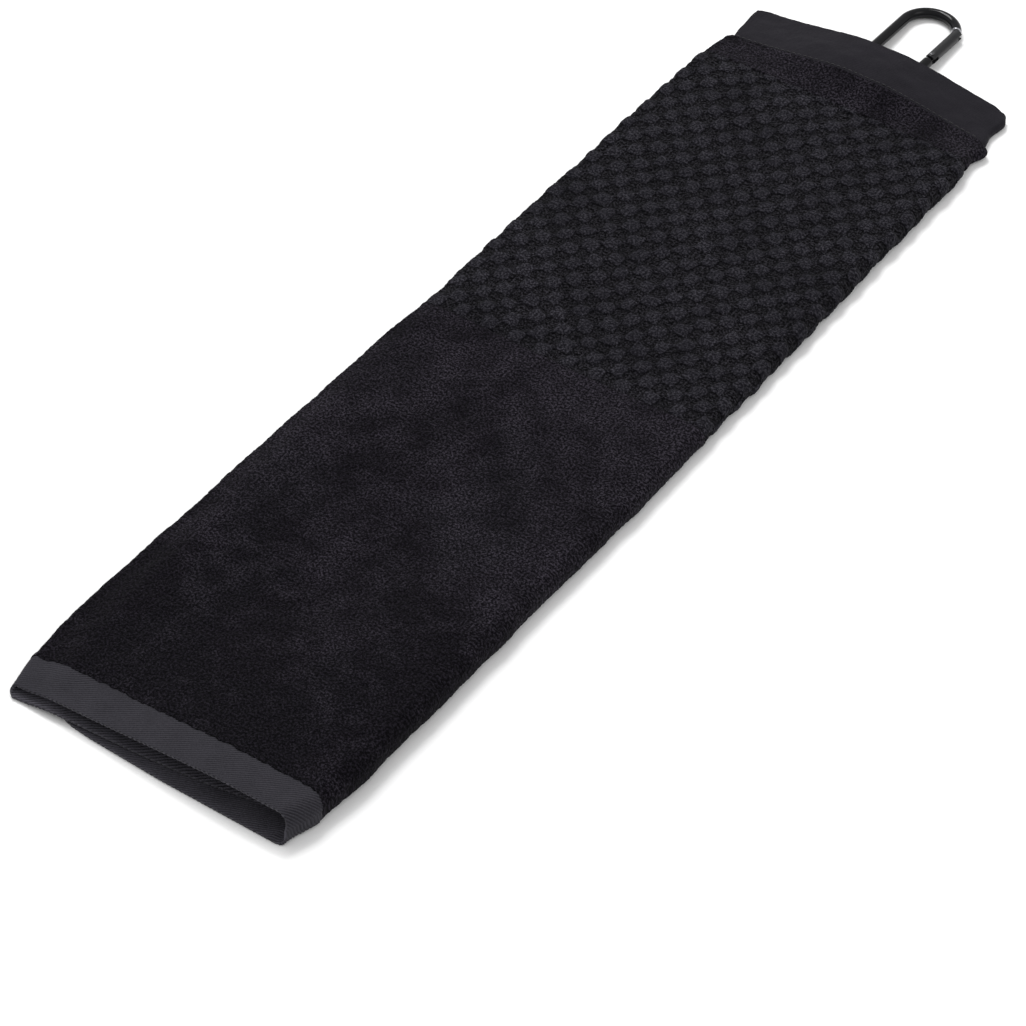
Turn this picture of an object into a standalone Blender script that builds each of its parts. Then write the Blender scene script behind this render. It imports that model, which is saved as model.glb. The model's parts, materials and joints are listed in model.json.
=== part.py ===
"""Tri-fold golf towel with a snap carabiner, lying closed and face up.

+X runs across the folded towel, +Y along it towards the carabiner, and +Z up. The origin is the middle of
the footprint, on the surface that the towel lies on. The cloth is one woven piece, folded in three like a
letter: the outer flap at the bottom, the inner flap in the middle and the centre panel on top. It is split
here where it folds, and along the diagonal that its free corner is turned back about.
"""

import math
from collections import namedtuple

import bmesh
import bpy
from mathutils import Matrix, Vector

# The towel, in metres
FOLDED_WIDTH = 0.146
HEM_WIDTH = 0.138
BAND_WIDTH = 0.135
LENGTH = 0.533
TOP_BAND = 0.023
BOTTOM_HEM = 0.020
CENTRE_HEM_SET_BACK = 0.0035
INNER_HEM_SET_BACK = 0.006
TERRY = 0.0026
HEM_CLOTH = 0.0013
LAYER_GAP = 0.0005
HEM_GAP = 0.00025
SPLIT = 0.0003
OUTER_FLAP_SHORT_AT_BOTTOM = 0.024
OUTER_FLAP_SHORT_AT_TOP = 0.0015
INNER_FLAP_SHORT = 0.0165
BAND_LEFT_FOLD = 0.004
BAND_RIGHT_FOLD = 0.005
LEFT_FOLD_DEPTH = 0.0065
RIGHT_FOLD_DEPTH = 0.0115
RIGHT_FOLD_TALL = 0.0145
RIGHT_FOLD_LOW = 0.009
STATIONS = 11
COLUMN = 0.004

# The arch of cloth over the carabiner's lower end, in metres
ARCH_ROOM = 0.009
ARCH_HALF_WIDTH = 0.060
ARCH_SIDE = 0.050
ARCH_START = 0.045
ARCH_FULL = 0.012

# The carabiner, in metres
WIRE = 0.005
CARABINER_WIDTH = 0.0308
CARABINER_STRAIGHT = 0.031
CARABINER_X = 0.006
CARABINER_BEYOND_EDGE = 0.0505
GATE_WIDTH = 0.0052
WEBBING_WIDTH = 0.009
WEBBING = 0.0008
WIRE_TO_WEBBING = 0.0004
REST_CLEARANCE = 0.00005

HALF_WIDTH = FOLDED_WIDTH / 2
BOTTOM_EDGE = -(LENGTH + CARABINER_BEYOND_EDGE) / 2
TOP_EDGE = BOTTOM_EDGE + LENGTH
HEM_TOP = BOTTOM_EDGE + BOTTOM_HEM
BAND_BOTTOM = TOP_EDGE - TOP_BAND

# The three stretches of the towel along its length: half its width, its cloth, and where it starts and ends
Stretch = namedtuple("Stretch", "half thickness start end")
BODY = Stretch(HALF_WIDTH, TERRY, HEM_TOP + SPLIT, BAND_BOTTOM - SPLIT)
HEM = Stretch(HEM_WIDTH / 2, HEM_CLOTH, BOTTOM_EDGE, HEM_TOP)
BAND = Stretch(BAND_WIDTH / 2, HEM_CLOTH, BAND_BOTTOM, TOP_EDGE)

# The line that the free corner is turned back about
CREASE_LEFT = Vector((-HALF_WIDTH, BAND_BOTTOM - 0.006, 0))
CREASE_RIGHT = Vector((0.0385, BOTTOM_EDGE, 0))
CREASE_HEIGHT = 0.0112

BEND = (CARABINER_WIDTH - WIRE) / 2
OVERALL = CARABINER_STRAIGHT + 2 * BEND
ARCH_Y = BEND + CARABINER_STRAIGHT
LOOP_Y = TOP_EDGE + CARABINER_BEYOND_EDGE - WIRE / 2 - OVERALL
LOOP_Z = HEM_CLOTH + SPLIT + WEBBING + WIRE_TO_WEBBING + WIRE / 2
LOOP = Vector((CARABINER_X, LOOP_Y, LOOP_Z))
REST_TILT = math.asin((LOOP_Z - WIRE / 2 - REST_CLEARANCE) / OVERALL)


def clear_scene():
    for thing in list(bpy.data.objects):
        bpy.data.objects.remove(thing, do_unlink=True)


def material(name, colour, roughness, metallic=0.0):
    made = bpy.data.materials.new(name)
    made.use_nodes = True
    shader = made.node_tree.nodes["Principled BSDF"]
    shader.inputs["Base Color"].default_value = (*colour, 1)
    shader.inputs["Roughness"].default_value = roughness
    shader.inputs["Metallic"].default_value = metallic
    return made


def smooth(share):
    share = min(max(share, 0), 1)
    return share * share * (3 - 2 * share)


def mix(a, b, share):
    return a + (b - a) * share


def new_object(name, shape, finish, parent=None):
    """A mesh object from a bmesh, facing out, with its own copy of the finish."""
    bmesh.ops.recalc_face_normals(shape, faces=shape.faces)
    mesh = bpy.data.meshes.new(name)
    shape.to_mesh(mesh)
    shape.free()
    made = bpy.data.objects.new(name, mesh)
    bpy.context.scene.collection.objects.link(made)
    own = finish.copy()
    own.name = name + "_finish"
    mesh.materials.append(own)
    made.parent = parent
    return made


def empty(name, place, turn):
    made = bpy.data.objects.new(name, None)
    made.matrix_world = Matrix.Translation(place) @ turn
    bpy.context.scene.collection.objects.link(made)
    return made


def boolean(target, cutter, operation="DIFFERENCE"):
    """Leaves a Boolean modifier on the target and makes the cutter a hidden guide."""
    step = target.modifiers.new(operation.title() + "_" + cutter.name, "BOOLEAN")
    step.operation = operation
    step.object = cutter
    step.solver = "EXACT"
    cutter.hide_render = True
    cutter.display_type = "WIRE"


# ---------------------------------------------------------------- how the cloth lies


def length_share(y):
    return (y - BOTTOM_EDGE) / LENGTH


def outer_free_edge(half):
    """Where the bottom layer ends: it was folded a little askew, so it runs short at the bottom."""
    return lambda y: mix(OUTER_FLAP_SHORT_AT_BOTTOM, OUTER_FLAP_SHORT_AT_TOP, length_share(y)) - half


def arch(x, y):
    """How far the upper layers rise over the carabiner, which lies between the two lower layers."""
    across = smooth((ARCH_HALF_WIDTH - abs(x - CARABINER_X)) / ARCH_SIDE)
    along = smooth((y - TOP_EDGE + ARCH_START) / (ARCH_START - ARCH_FULL))
    return ARCH_ROOM * across * along


def lift(x, y):
    """How far the bottom layer raises what lies on it, easing down past its free edge."""
    slope = 0.016
    return (TERRY + SPLIT) * smooth((x - outer_free_edge(HALF_WIDTH)(y) + slope + 0.0015) / slope)


def inner_height(x, y):
    """The inner flap lies on the outer flap, and is level for one column beside the left fold."""
    x = max(x, -HALF_WIDTH + LEFT_FOLD_DEPTH + SPLIT + COLUMN)
    return LAYER_GAP + TERRY / 2 + lift(x, y) + arch(x, y)


def right_fold_height(y):
    return mix(RIGHT_FOLD_TALL, RIGHT_FOLD_LOW, smooth(length_share(y) * 1.4))


def centre_height(x, y):
    """The centre panel lies on the inner flap and rises to the loose fold at its right."""
    flat = inner_height(x, y) + TERRY + LAYER_GAP
    rise_start = 0.022
    rise = smooth((x - rise_start) / (HALF_WIDTH - RIGHT_FOLD_DEPTH - rise_start))
    return mix(flat, max(flat, right_fold_height(y) - TERRY / 2), rise)


def band_inner_height(x, y):
    return HEM_CLOTH * 1.5 + HEM_GAP + arch(x, y)


def band_centre_height(x, y):
    return band_inner_height(x, y) + HEM_CLOTH + HEM_GAP


# ---------------------------------------------------------------- cloth pieces


def spread(start, end, count):
    return [mix(start, end, i / (count - 1)) for i in range(count)]


def flat_line(start, end, height):
    """A flat layer's middle line at one station, from start to end across the towel."""
    return lambda y: [(start(y), height), (end(y), height)]


def panel_line(start, end, height):
    """An upper layer's middle line: height gives z from x and y, at columns that all layers share."""
    count = math.ceil((end - start) / COLUMN - 0.5)
    columns = [start + COLUMN * i for i in range(count)] + [end]
    return lambda y: [(x, height(x, y)) for x in columns]


def fold_line(x_flat, x_tip, low, high, thickness, count=9):
    """Out along the lower layer, half a circle round the tip of the fold, and back along the upper layer."""
    way = math.copysign(1, x_tip)

    def line(y):
        middle = (low(y) + high(y)) / 2
        radius = (high(y) - low(y)) / 2
        x_round = x_tip - way * (thickness / 2 + radius)
        turns = spread(-math.pi / 2, math.pi / 2, count)
        bend = [(x_round + way * radius * math.cos(t), middle + radius * math.sin(t)) for t in turns]
        return [(x_flat, low(y)), *bend, (x_flat, high(y))]

    return line


def offset(line, by):
    """The line moved sideways, square to itself."""
    moved = []
    for i, (x, z) in enumerate(line):
        ahead = line[min(i + 1, len(line) - 1)]
        behind = line[max(i - 1, 0)]
        along_x, along_z = ahead[0] - behind[0], ahead[1] - behind[1]
        size = math.hypot(along_x, along_z)
        moved.append((x - by * along_z / size, z + by * along_x / size))
    return moved


def cloth(name, line, stretch, finish, stations=STATIONS):
    """A layer of cloth: its middle line given thickness at each station along Y, and closed at both ends."""
    shape = bmesh.new()
    rings = []
    half_thickness = stretch.thickness / 2
    for y in spread(stretch.start, stretch.end, stations):
        middle = line(y)
        loop = offset(middle, half_thickness) + offset(middle, -half_thickness)[::-1]
        rings.append([shape.verts.new((x, y, z)) for x, z in loop])
    size = len(rings[0])
    for near, far in zip(rings, rings[1:]):
        for i in range(size):
            shape.faces.new((near[i], near[(i + 1) % size], far[(i + 1) % size], far[i]))
    for ring in (rings[0], rings[-1]):
        for i in range(size // 2 - 1):
            shape.faces.new((ring[i], ring[i + 1], ring[size - 2 - i], ring[size - 1 - i]))
    return new_object(name, shape, finish)


def crease_side(name, moving):
    """A block over everything on one side of the crease, to cut that side away."""
    direction = (CREASE_RIGHT - CREASE_LEFT).normalized()
    sideways = Vector((-direction.y, direction.x, 0))
    if not moving:
        sideways = -sideways
    reach = 1.2
    middle = (CREASE_LEFT + CREASE_RIGHT) / 2
    shape = bmesh.new()
    bmesh.ops.create_cube(shape, size=1)
    size = Matrix.Diagonal((reach, reach, 0.1, 1))
    turn = Matrix.Rotation(math.atan2(direction.y, direction.x), 4, "Z")
    place = Matrix.Translation(middle + sideways * (reach / 2 - SPLIT / 2))
    bmesh.ops.transform(shape, matrix=place @ turn @ size, verts=shape.verts)
    made = new_object(name, shape, FINISHES["steel"])
    made.hide_render = True
    made.display_type = "WIRE"
    return made


def split_cloth(names, line, stretch, finish, stations=STATIONS):
    """The same layer twice: the side that stays and the corner that is turned back."""
    for name, cutter in zip(names, CREASE_CUTTERS):
        boolean(cloth(name, line, stretch, finish, stations), cutter)


def fixed(value):
    return lambda y: value


def left_fold_line(stretch):
    x_flat = -stretch.half + LEFT_FOLD_DEPTH
    return fold_line(
        x_flat,
        -stretch.half,
        lambda y: inner_height(x_flat, y),
        lambda y: centre_height(x_flat, y),
        stretch.thickness,
    )


def right_fold_line(stretch):
    x_flat = stretch.half - RIGHT_FOLD_DEPTH
    low = fixed(stretch.thickness / 2)
    return fold_line(x_flat, stretch.half, low, lambda y: centre_height(x_flat, y), stretch.thickness)


def layer_lines(stretch):
    """The middle lines of the outer flap, the inner flap and the centre panel, between the two folds."""
    left = -stretch.half + LEFT_FOLD_DEPTH + SPLIT
    right = stretch.half - RIGHT_FOLD_DEPTH - SPLIT
    outer = flat_line(outer_free_edge(stretch.half), fixed(right), stretch.thickness / 2)
    inner = panel_line(left, stretch.half - INNER_FLAP_SHORT, inner_height)
    centre = panel_line(left, right, centre_height)
    return outer, inner, centre


def build_terry():
    terry = FINISHES["velour"]
    outer, inner, centre = layer_lines(BODY)
    cloth("outer_flap", outer, BODY, FINISHES["loops"], 2)
    cloth("right_fold", right_fold_line(BODY), BODY, terry)
    split_cloth(("centre_panel_upper", "centre_panel_corner"), centre, BODY, terry)
    split_cloth(("inner_flap_upper", "inner_flap_corner"), inner, BODY, terry)
    split_cloth(("left_fold_upper", "left_fold_corner"), left_fold_line(BODY), BODY, terry)


def build_bottom_hem():
    """The hem's upper two layers are set back a little from the bottom layer's edge."""
    hem = FINISHES["hem"]
    outer, inner, centre = layer_lines(HEM)
    cloth("outer_flap_hem", outer, HEM, hem, 2)
    cloth("right_fold_hem", right_fold_line(HEM), HEM, hem, 3)
    centre_stretch = HEM._replace(start=BOTTOM_EDGE + CENTRE_HEM_SET_BACK)
    split_cloth(("centre_hem_right", "centre_hem_corner"), centre, centre_stretch, hem, 3)
    inner_stretch = HEM._replace(start=BOTTOM_EDGE + INNER_HEM_SET_BACK)
    names = ("inner_flap_hem_right", "inner_flap_hem_corner")
    split_cloth(names, inner, inner_stretch, hem, 3)
    cloth("left_fold_hem_corner", left_fold_line(HEM), HEM, hem, 3)


def build_top_band():
    """Three flat-woven layers, sewn together, with the carabiner's lower end between two of them."""
    left = -BAND.half + BAND_LEFT_FOLD
    right = BAND.half - BAND_RIGHT_FOLD
    hem = FINISHES["hem"]
    low = fixed(HEM_CLOTH / 2)
    outer_left = -BAND.half + OUTER_FLAP_SHORT_AT_TOP
    outer = flat_line(fixed(outer_left), fixed(right - SPLIT), HEM_CLOTH / 2)
    cloth("top_band_outer", outer, BAND, hem, 2)
    inner = panel_line(left + SPLIT, BAND.half - INNER_FLAP_SHORT, band_inner_height)
    cloth("top_band_inner", inner, BAND, hem)
    centre = panel_line(left + SPLIT, right - SPLIT, band_centre_height)
    cloth("top_band_centre", centre, BAND, hem)
    fold = fold_line(
        left,
        -BAND.half,
        lambda y: band_inner_height(left, y),
        lambda y: band_centre_height(left, y),
        HEM_CLOTH,
        7,
    )
    cloth("top_band_left_fold", fold, BAND, hem, 2)
    fold = fold_line(right, BAND.half, low, lambda y: band_centre_height(right, y), HEM_CLOTH, 7)
    cloth("top_band_right_fold", fold, BAND, hem, 2)


# ---------------------------------------------------------------- rods and pins


def frame_along(points, i, end_normal):
    """A ring's centre and its two directions, square to the path, or to end_normal at the first point."""
    ahead = points[min(i + 1, len(points) - 1)] - points[max(i - 1, 0)]
    if i == 0 and end_normal is not None:
        ahead = end_normal
    up = Vector((0, 0, 1)) if abs(ahead.normalized().z) < 0.9 else Vector((1, 0, 0))
    side = ahead.cross(up).normalized()
    return side, side.cross(ahead).normalized()


def rod(name, points, radius, sides, finish, parent=None, end_normal=None):
    """A round rod along a path, with flat ends."""
    shape = bmesh.new()
    rings = []
    for i, point in enumerate(points):
        side, up = frame_along(points, i, end_normal)
        turns = [2 * math.pi * k / sides for k in range(sides)]
        ring = [point + radius * (math.cos(t) * side + math.sin(t) * up) for t in turns]
        rings.append([shape.verts.new(place) for place in ring])
    for near, far in zip(rings, rings[1:]):
        for k in range(sides):
            shape.faces.new((near[k], near[(k + 1) % sides], far[(k + 1) % sides], far[k]))
    shape.faces.new(rings[0])
    shape.faces.new(rings[-1])
    made = new_object(name, shape, finish, parent)
    made.data.shade_smooth()
    made.data.set_sharp_from_angle(angle=math.radians(40))
    return made


def pin(name, x, y, half_length, radius, finish, parent, sides=16):
    """A round pin square to the carabiner's plane."""
    ends = [Vector((x, y, -half_length)), Vector((x, y, half_length))]
    return rod(name, ends, radius, sides, finish, parent)


def block(name, low, high, finish, parent):
    shape = bmesh.new()
    bmesh.ops.create_cube(shape, size=1)
    low, high = Vector(low), Vector(high)
    size = Matrix.Diagonal((*(high - low), 1))
    bmesh.ops.transform(shape, matrix=Matrix.Translation((low + high) / 2) @ size, verts=shape.verts)
    return new_object(name, shape, finish, parent)


def arc(centre_y, start, end, steps):
    turns = spread(math.radians(start), math.radians(end), steps)
    return [Vector((BEND * math.cos(t), centre_y + BEND * math.sin(t), 0)) for t in turns]


# ---------------------------------------------------------------- carabiner
# In the carabiner's own frame the origin is where the webbing loop holds it, +Y runs to the far end, and
# +Z is square to its plane.

NOSE_Y = ARCH_Y + 0.0054
GATE_TOP = NOSE_Y - 0.0006
HINGE_Y = ARCH_Y - 0.0185
GATE_BOTTOM = HINGE_Y - 0.0017
STUB_END = HINGE_Y - 0.003
TONGUE = 0.0016
SLOT = 0.0022
LATCH_X = BEND - 0.0012
LATCH_Y = NOSE_Y - 0.0021
RIVET = 0.0007
LATCH_PIN = 0.0006
PIN_ROOM = 0.00015


def build_body(frame):
    black = FINISHES["anodised"]
    nose_angle = math.degrees(math.asin((NOSE_Y - ARCH_Y) / BEND))
    path = arc(ARCH_Y, nose_angle, 180, 20) + arc(BEND, 180, 360, 20)
    path.append(Vector((BEND, STUB_END, 0)))
    body = rod("carabiner_body", path, WIRE / 2, 16, black, frame, Vector((0, 1, 0)))
    half = TONGUE / 2
    tongue = block(
        "hinge_tongue",
        (BEND - TONGUE, STUB_END - 0.001, -half),
        (BEND + TONGUE, HINGE_Y, half),
        black,
        frame,
    )
    boolean(body, tongue, "UNION")
    boolean(body, pin("hinge_eye", BEND, HINGE_Y, half, TONGUE, black, frame, 24), "UNION")
    hole = pin("rivet_hole", BEND, HINGE_Y, 0.004, RIVET + PIN_ROOM, black, frame)
    boolean(body, hole)
    hook_low = NOSE_Y - 0.0038
    stem_left = BEND - 0.0003
    stem = block(
        "nose_stem",
        (stem_left, hook_low, -half),
        (BEND + 0.0009, NOSE_Y + 0.001, half),
        black,
        frame,
    )
    boolean(body, stem, "UNION")
    lip = block(
        "nose_lip",
        (LATCH_X - 0.0008, hook_low, -half),
        (stem_left + 0.0004, hook_low + 0.0007, half),
        black,
        frame,
    )
    boolean(body, lip, "UNION")


def build_rivet(frame):
    """The gate's hinge pin, peened over at both ends."""
    steel = FINISHES["steel"]
    rivet = pin("gate_rivet", BEND, HINGE_Y, GATE_WIDTH / 2 + 0.0005, RIVET, steel, frame)
    for side in (-1, 1):
        inner, outer = GATE_WIDTH / 2 + 0.0001, GATE_WIDTH / 2 + 0.0005
        ends = [Vector((BEND, HINGE_Y, side * inner)), Vector((BEND, HINGE_Y, side * outer))]
        head = rod("rivet_head" + "_ab"[side], ends, RIVET * 1.5, 16, steel, frame)
        boolean(rivet, head, "UNION")


def build_gate(frame, hinge):
    """The straight sleeve that closes the carabiner, slotted at both ends and bored for its spring."""
    black = FINISHES["anodised"]
    along = [Vector((0, GATE_BOTTOM - HINGE_Y, 0)), Vector((0, GATE_TOP - HINGE_Y, 0))]
    gate = rod("carabiner_gate", along, GATE_WIDTH / 2, 24, black, hinge)
    wide = GATE_WIDTH
    hinge_slot_end = TONGUE + 0.0005
    slot = block("hinge_slot", (-wide, -0.01, -SLOT / 2), (wide, hinge_slot_end, SLOT / 2), black, hinge)
    boolean(gate, slot)
    nose_slot_start = NOSE_Y - 0.0043 - HINGE_Y
    slot = block("nose_slot", (-wide, nose_slot_start, -SLOT / 2), (wide, 0.04, SLOT / 2), black, hinge)
    boolean(gate, slot)
    bore_end = 0.0155
    bore_line = [Vector((0, hinge_slot_end - 0.001, 0)), Vector((0, bore_end, 0))]
    bore = rod("spring_bore", bore_line, 0.00135, 20, black, hinge)
    boolean(gate, bore)
    boolean(gate, pin("gate_rivet_hole", 0, 0, 0.004, RIVET + PIN_ROOM, black, hinge))
    latch = (LATCH_X - BEND, LATCH_Y - HINGE_Y)
    boolean(gate, pin("latch_hole", *latch, 0.004, LATCH_PIN + PIN_ROOM, black, hinge))
    pin("gate_latch_pin", *latch, 0.0021, LATCH_PIN, FINISHES["steel"], hinge)
    build_spring(hinge, hinge_slot_end, bore_end)


def build_spring(hinge, bore_start, bore_end):
    """A plunger pressed against the hinge's eye, which swings the gate shut, and the coil behind it."""
    steel = FINISHES["steel"]
    radius = 0.0011
    tip = bore_start - 0.0001
    shoulder = tip + 0.003
    ends = [Vector((0, tip, 0)), Vector((0, shoulder, 0))]
    rod("gate_plunger", ends, radius, 16, steel, hinge)
    coils, per_coil, wire = 9, 12, 0.00016
    start, end = shoulder + 0.0004, bore_end - 0.0004
    points = []
    for i in range(coils * per_coil + 1):
        turn = 2 * math.pi * i / per_coil
        reach = radius - wire
        y = mix(start, end, i / (coils * per_coil))
        points.append(Vector((reach * math.cos(turn), y, reach * math.sin(turn))))
    rod("gate_spring", points, wire, 6, steel, hinge)


# ---------------------------------------------------------------- what holds the carabiner


def build_hanging_loop():
    """Webbing round the carabiner's lower end, both tails sewn between the band's layers."""
    inside = WIRE / 2 + WIRE_TO_WEBBING
    middle = inside + WEBBING / 2
    front = LOOP_Y + BEND - math.sqrt(BEND**2 - (WEBBING_WIDTH / 2) ** 2)
    tail_y = BAND_BOTTOM + 0.001
    tail_gap = (WEBBING + SPLIT) / 2
    tail_z = HEM_CLOTH + SPLIT + WEBBING + SPLIT / 2
    line = []
    for side in (-1, 1):
        strand = []
        for share in spread(0, 1, 7):
            y = mix(tail_y, front, share)
            away = mix(tail_gap, middle, smooth(share * 1.6 - 0.3))
            centre = mix(tail_z, LOOP_Z, smooth(share * 1.6 - 0.3))
            strand.append((y, centre + side * away))
        line.append(strand)
    turns = spread(-math.pi / 2, math.pi / 2, 11)[1:-1]
    bow = [(front + middle * math.cos(t), LOOP_Z + middle * math.sin(t)) for t in turns]
    route = line[0] + bow + line[1][::-1]
    section = offset(route, WEBBING / 2) + offset(route, -WEBBING / 2)[::-1]
    shape = bmesh.new()
    rings = []
    for side in (-1, 1):
        x = CARABINER_X + side * WEBBING_WIDTH / 2
        rings.append([shape.verts.new((x, y, z)) for y, z in section])
    size = len(section)
    for i in range(size):
        j = (i + 1) % size
        shape.faces.new((rings[0][i], rings[0][j], rings[1][j], rings[1][i]))
    for ring in rings:
        for i in range(size // 2 - 1):
            shape.faces.new((ring[i], ring[i + 1], ring[size - 2 - i], ring[size - 1 - i]))
    new_object("hanging_loop", shape, FINISHES["webbing"])
    top = tail_z + tail_gap + WEBBING / 2 + SPLIT / 3
    half = WEBBING_WIDTH / 2 - 0.001
    block(
        "loop_bar_tack",
        (CARABINER_X - half, tail_y + 0.0005, top),
        (CARABINER_X + half, tail_y + 0.002, top + 0.0002),
        FINISHES["thread"],
        None,
    )


def build_seam_thread():
    """The row of sewing that closes the band, lying on its upper layer."""
    radius = 0.0003
    y = BAND_BOTTOM + 0.002
    above = HEM_CLOTH / 2 + radius + SPLIT
    xs = spread(-BAND.half + 0.006, BAND.half - 0.007, 30)
    points = [Vector((x, y, band_centre_height(x, y) + above)) for x in xs]
    rod("top_seam_thread", points, radius, 6, FINISHES["thread"])


FINISHES = {}
clear_scene()
FINISHES["velour"] = material("velour", (0.010, 0.010, 0.013), 0.95)
FINISHES["loops"] = material("loops", (0.020, 0.020, 0.024), 0.95)
FINISHES["hem"] = material("hem_twill", (0.028, 0.027, 0.032), 0.85)
FINISHES["webbing"] = material("webbing", (0.020, 0.020, 0.022), 0.8)
FINISHES["thread"] = material("thread", (0.030, 0.030, 0.034), 0.7)
FINISHES["anodised"] = material("black_anodised", (0.012, 0.012, 0.014), 0.3, 0.6)
FINISHES["steel"] = material("blackened_steel", (0.05, 0.05, 0.055), 0.35, 1.0)
CREASE_CUTTERS = (crease_side("crease_keep_upper", False), crease_side("crease_keep_corner", True))
build_terry()
build_bottom_hem()
build_top_band()
build_hanging_loop()
build_seam_thread()
CARABINER = empty("carabiner_frame", LOOP, Matrix.Rotation(-REST_TILT, 4, "X"))
GATE_HINGE = empty("gate_hinge", Vector((BEND, HINGE_Y, 0)), Matrix())
GATE_HINGE.parent = CARABINER
build_body(CARABINER)
build_rivet(CARABINER)
build_gate(CARABINER, GATE_HINGE)
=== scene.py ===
"""The looks of the tri-fold golf towel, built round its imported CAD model.

Everything is in metres, in the CAD model's frame: +X across the folded towel, +Y along it towards the
carabiner, +Z up, with the towel lying on z = 0. One rule, wrap(), says where the folded towel's middle
surface lies, and each piece of cloth is a stretch of it with its own pile or weave.
"""

import json
import math

import bmesh
import bpy
import numpy as np
from mathutils import Matrix, Vector


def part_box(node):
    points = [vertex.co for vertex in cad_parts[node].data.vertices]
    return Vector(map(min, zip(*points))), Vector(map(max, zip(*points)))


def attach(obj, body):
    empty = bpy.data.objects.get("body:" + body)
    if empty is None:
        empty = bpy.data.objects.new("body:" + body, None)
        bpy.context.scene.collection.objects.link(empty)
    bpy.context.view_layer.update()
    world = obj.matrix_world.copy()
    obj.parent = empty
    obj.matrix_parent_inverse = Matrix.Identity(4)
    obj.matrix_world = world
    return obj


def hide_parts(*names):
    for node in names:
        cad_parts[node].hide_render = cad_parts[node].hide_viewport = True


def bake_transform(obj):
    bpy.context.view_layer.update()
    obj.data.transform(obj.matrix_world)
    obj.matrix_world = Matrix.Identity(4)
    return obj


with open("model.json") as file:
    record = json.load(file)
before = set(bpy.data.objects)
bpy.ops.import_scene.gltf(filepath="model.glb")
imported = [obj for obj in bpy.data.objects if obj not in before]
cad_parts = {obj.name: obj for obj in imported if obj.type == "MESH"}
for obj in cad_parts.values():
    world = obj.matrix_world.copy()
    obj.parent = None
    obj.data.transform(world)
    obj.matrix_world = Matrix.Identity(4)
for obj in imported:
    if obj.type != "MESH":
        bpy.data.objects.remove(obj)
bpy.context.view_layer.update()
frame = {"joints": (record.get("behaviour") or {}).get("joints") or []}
JOINTS = {joint["name"]: joint for joint in frame["joints"]}

# ---------------------------------------------------------------- sizes

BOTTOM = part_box("outer_flap_hem")[0].y
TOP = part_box("top_band_centre")[1].y
BAND_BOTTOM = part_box("top_band_centre")[0].y
HEM = 0.0165
HEM_EDGE = BOTTOM + HEM
CHECK_START = BOTTOM + 0.278
CHECK_END = BOTTOM + 0.492
CHECK_ACROSS = 0.0069
CHECK_ALONG = 0.0073

# The cloth's thickness and the gap between its layers, in the open towel and where the band presses it
TERRY = 0.0026
PRESSED_TERRY = 0.0019
LAYER_GAP = 0.0005
PRESSED_GAP = 0.0001
PRESSED_LENGTH = 0.034
TWILL = 0.0013
TWILL_GAP = 0.00025
PILE = 0.0009
CHECK_RISE = 0.0006

# The cloth's edges, left and right, at distances from the bottom edge
EDGES = (
    (0.000, -0.0732, 0.0666),
    (0.020, -0.0766, 0.0712),
    (0.050, -0.0782, 0.0738),
    (0.150, -0.0768, 0.0745),
    (0.250, -0.0743, 0.0757),
    (0.290, -0.0718, 0.0750),
    (0.480, -0.0704, 0.0738),
    (0.498, -0.0700, 0.0720),
    (0.5072, -0.0693, 0.0748),
    (0.5108, -0.0672, 0.0708),
    (0.519, -0.0688, 0.0697),
    (0.529, -0.0694, 0.0706),
    (0.5350, -0.0691, 0.0682),
)
LEFT_FOLD_DEPTH = 0.0045

# How far the flaps' free edges stop short of the towel's sides
OUTER_SHORT_AT_BOTTOM = 0.025
OUTER_SHORT_AT_TOP = 0.002
INNER_SHORT = 0.018

# The middle layer's step down past the outer flap's edge, and how high its hem's middle lies there
STEP_WIDTH = 0.016
STEP_CLEAR = 0.0015
HEM_MIDDLE = 0.00075

# The right fold stands open at the bottom and lies lower towards the band
RIGHT_FOLD_TALL = 0.0143
RIGHT_FOLD_LOW = 0.0098
RIGHT_FOLD_SETTLES = 0.36

# The top layer climbs to it between these places at the mouth. Further up the climb is nearer the fold
MOUTH_CLIMB = (-0.062, 0.036)
MOUTH_LENGTH = 0.150
CLIMB_START = 0.004
CLIMB_SHORT = 0.012

# How far each layer's bottom edge is set back, at places round the fold: the count is wrap()'s u
SET_BACK = (
    (0, 0.0044),
    (0.08, 0.0022),
    (0.17, 0.0013),
    (0.30, 0.0008),
    (0.50, 0.0),
    (1, 0.0),
    (1.35, 0.0012),
    (1.8, 0.0046),
    (2, 0.0050),
    (2.9, 0.0048),
    (3, 0.0042),
    (4, 0.0006),
    (4.15, 0.0018),
    (4.5, 0.0044),
    (4.75, 0.0072),
    (5, 0.0120),
)

# The arch over the carabiner's lower end
SWING = JOINTS["carabiner_swing"]["pos_m"]
CARABINER_X = SWING[0]
ARCH_ROOM = 0.0094
ARCH_HALF_WIDTH = 0.066
ARCH_SIDE = 0.056
ARCH_START = 0.050
ARCH_FULL = 0.010


# ---------------------------------------------------------------- numbers


def smooth(share):
    share = np.clip(share, 0, 1)
    return share * share * (3 - 2 * share)


def mix(a, b, share):
    return a + (b - a) * share


def noise(across, along, cell, seed):
    """Smooth random bumps between -1 and 1, a cell apart."""
    size = 256
    values = np.random.default_rng(seed).uniform(-1, 1, (size, size))
    u, v = across / cell + size, along / cell + size
    i, j = np.floor(u).astype(int), np.floor(v).astype(int)
    a, b = smooth(u - i), smooth(v - j)
    near = mix(values[i % size, j % size], values[(i + 1) % size, j % size], a)
    far = mix(values[i % size, (j + 1) % size], values[(i + 1) % size, (j + 1) % size], a)
    return mix(near, far, b)


# ---------------------------------------------------------------- how the towel lies


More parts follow.
